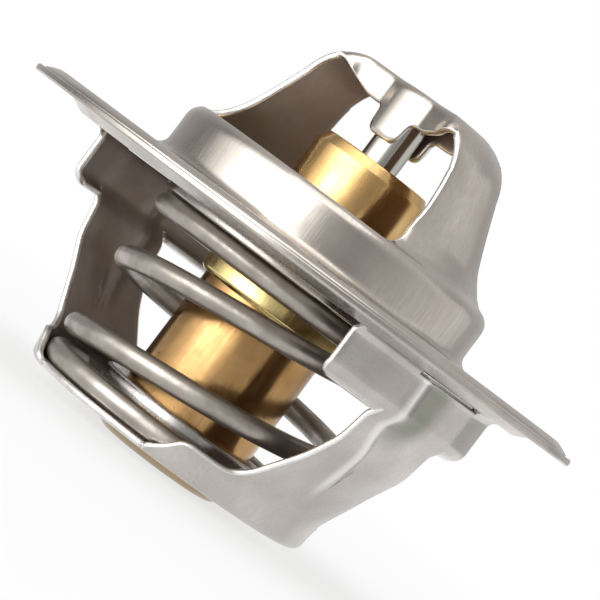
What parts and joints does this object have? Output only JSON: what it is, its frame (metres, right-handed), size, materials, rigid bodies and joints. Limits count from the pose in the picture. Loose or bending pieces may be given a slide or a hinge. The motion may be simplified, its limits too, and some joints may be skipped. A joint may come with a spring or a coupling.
{
  "type": "engine thermostat",
  "caption": "Wax-type engine thermostat: a pressed bridge and cage hold a spring-loaded poppet valve that opens downwards as its wax capsule warms.",
  "frame": {"origin": "centre of the seat ring, in the plane of its underside", "axes": "+Z along the piston towards the bridge; +X and -X towards the two arms of the bridge and of the cage; +Y from the right-hand rule"},
  "size_m": [0.054, 0.054, 0.0371],
  "materials": {
    "stainless_sheet": "satin",
    "polished_steel": "polished",
    "spring_wire": "satin",
    "brass": "satin",
    "copper_alloy": "satin",
    "wax": "matte",
    "black_rubber": "matte",
    "white_polymer": "matte"
  },
  "bodies": {
    "frame": {"bridge_frame": "stainless_sheet", "seat_ring": "stainless_sheet", "spring_cage": "stainless_sheet", "piston": "polished_steel", "main_spring": "spring_wire"},
    "valve": {"guide_body": "brass", "wax_cup": "copper_alloy", "wax_charge": "wax", "diaphragm": "black_rubber", "rubber_plug": "black_rubber", "backup_washer": "white_polymer", "valve_disc": "stainless_sheet", "retaining_ring": "spring_wire"}
  },
  "joints": [
    {"name": "valve_slide", "type": "slide", "parent": "frame", "child": "valve", "axis": [0, 0, -1], "range_m": [0, 0.008], "stiffness_N_per_m": 2500, "springref_m": -0.01, "deforming": ["main_spring"]}
  ]
}
